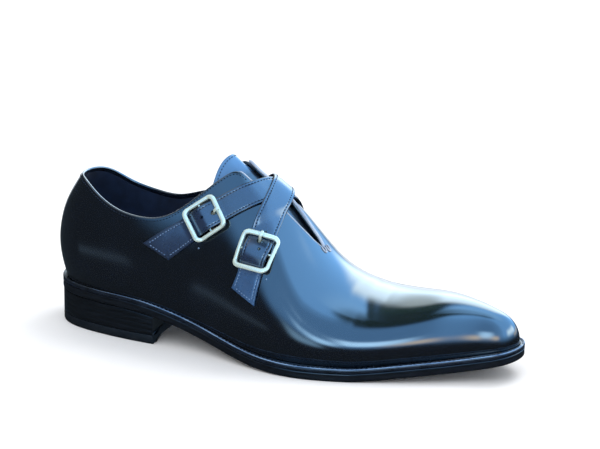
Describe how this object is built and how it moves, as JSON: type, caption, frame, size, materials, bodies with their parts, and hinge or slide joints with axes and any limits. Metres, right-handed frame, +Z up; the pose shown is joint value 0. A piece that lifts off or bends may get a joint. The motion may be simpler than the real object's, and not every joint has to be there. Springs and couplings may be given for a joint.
{
  "type": "crossed-strap dress shoe",
  "caption": "Polished black slip-on dress shoe with a raised heel, long almond toe, short tongue and crossed straps closed by square buckles.",
  "frame": {"origin": "middle of the bounding box's underside, on the floor", "axes": "+X towards the toe, +Y towards the medial side, +Z up"},
  "size_m": [0.308, 0.1048, 0.1184],
  "materials": {
    "sole": "black edge dressing, satin",
    "welt": "black, waxed, stitched",
    "heel": "black edge dressing over stacked lifts",
    "top_piece": "matt black",
    "insole": "matt dark navy",
    "upper": "high shine, black with a navy cast",
    "tongue": "polished",
    "straps": "polished, edge stitched",
    "buckles": "bright polished"
  },
  "bodies": {
    "root": {"outsole": "sole", "welt": "welt", "heel_stack": "heel", "heel_top_piece": "top_piece", "insole": "insole", "upper": "upper", "tongue": "tongue", "rear_strap": "straps", "front_strap": "straps", "rear_chape": "straps", "front_chape": "straps", "rear_buckle": "buckles", "front_buckle": "buckles", "rear_prong": "buckles", "front_prong": "buckles"}
  },
  "joints": []
}
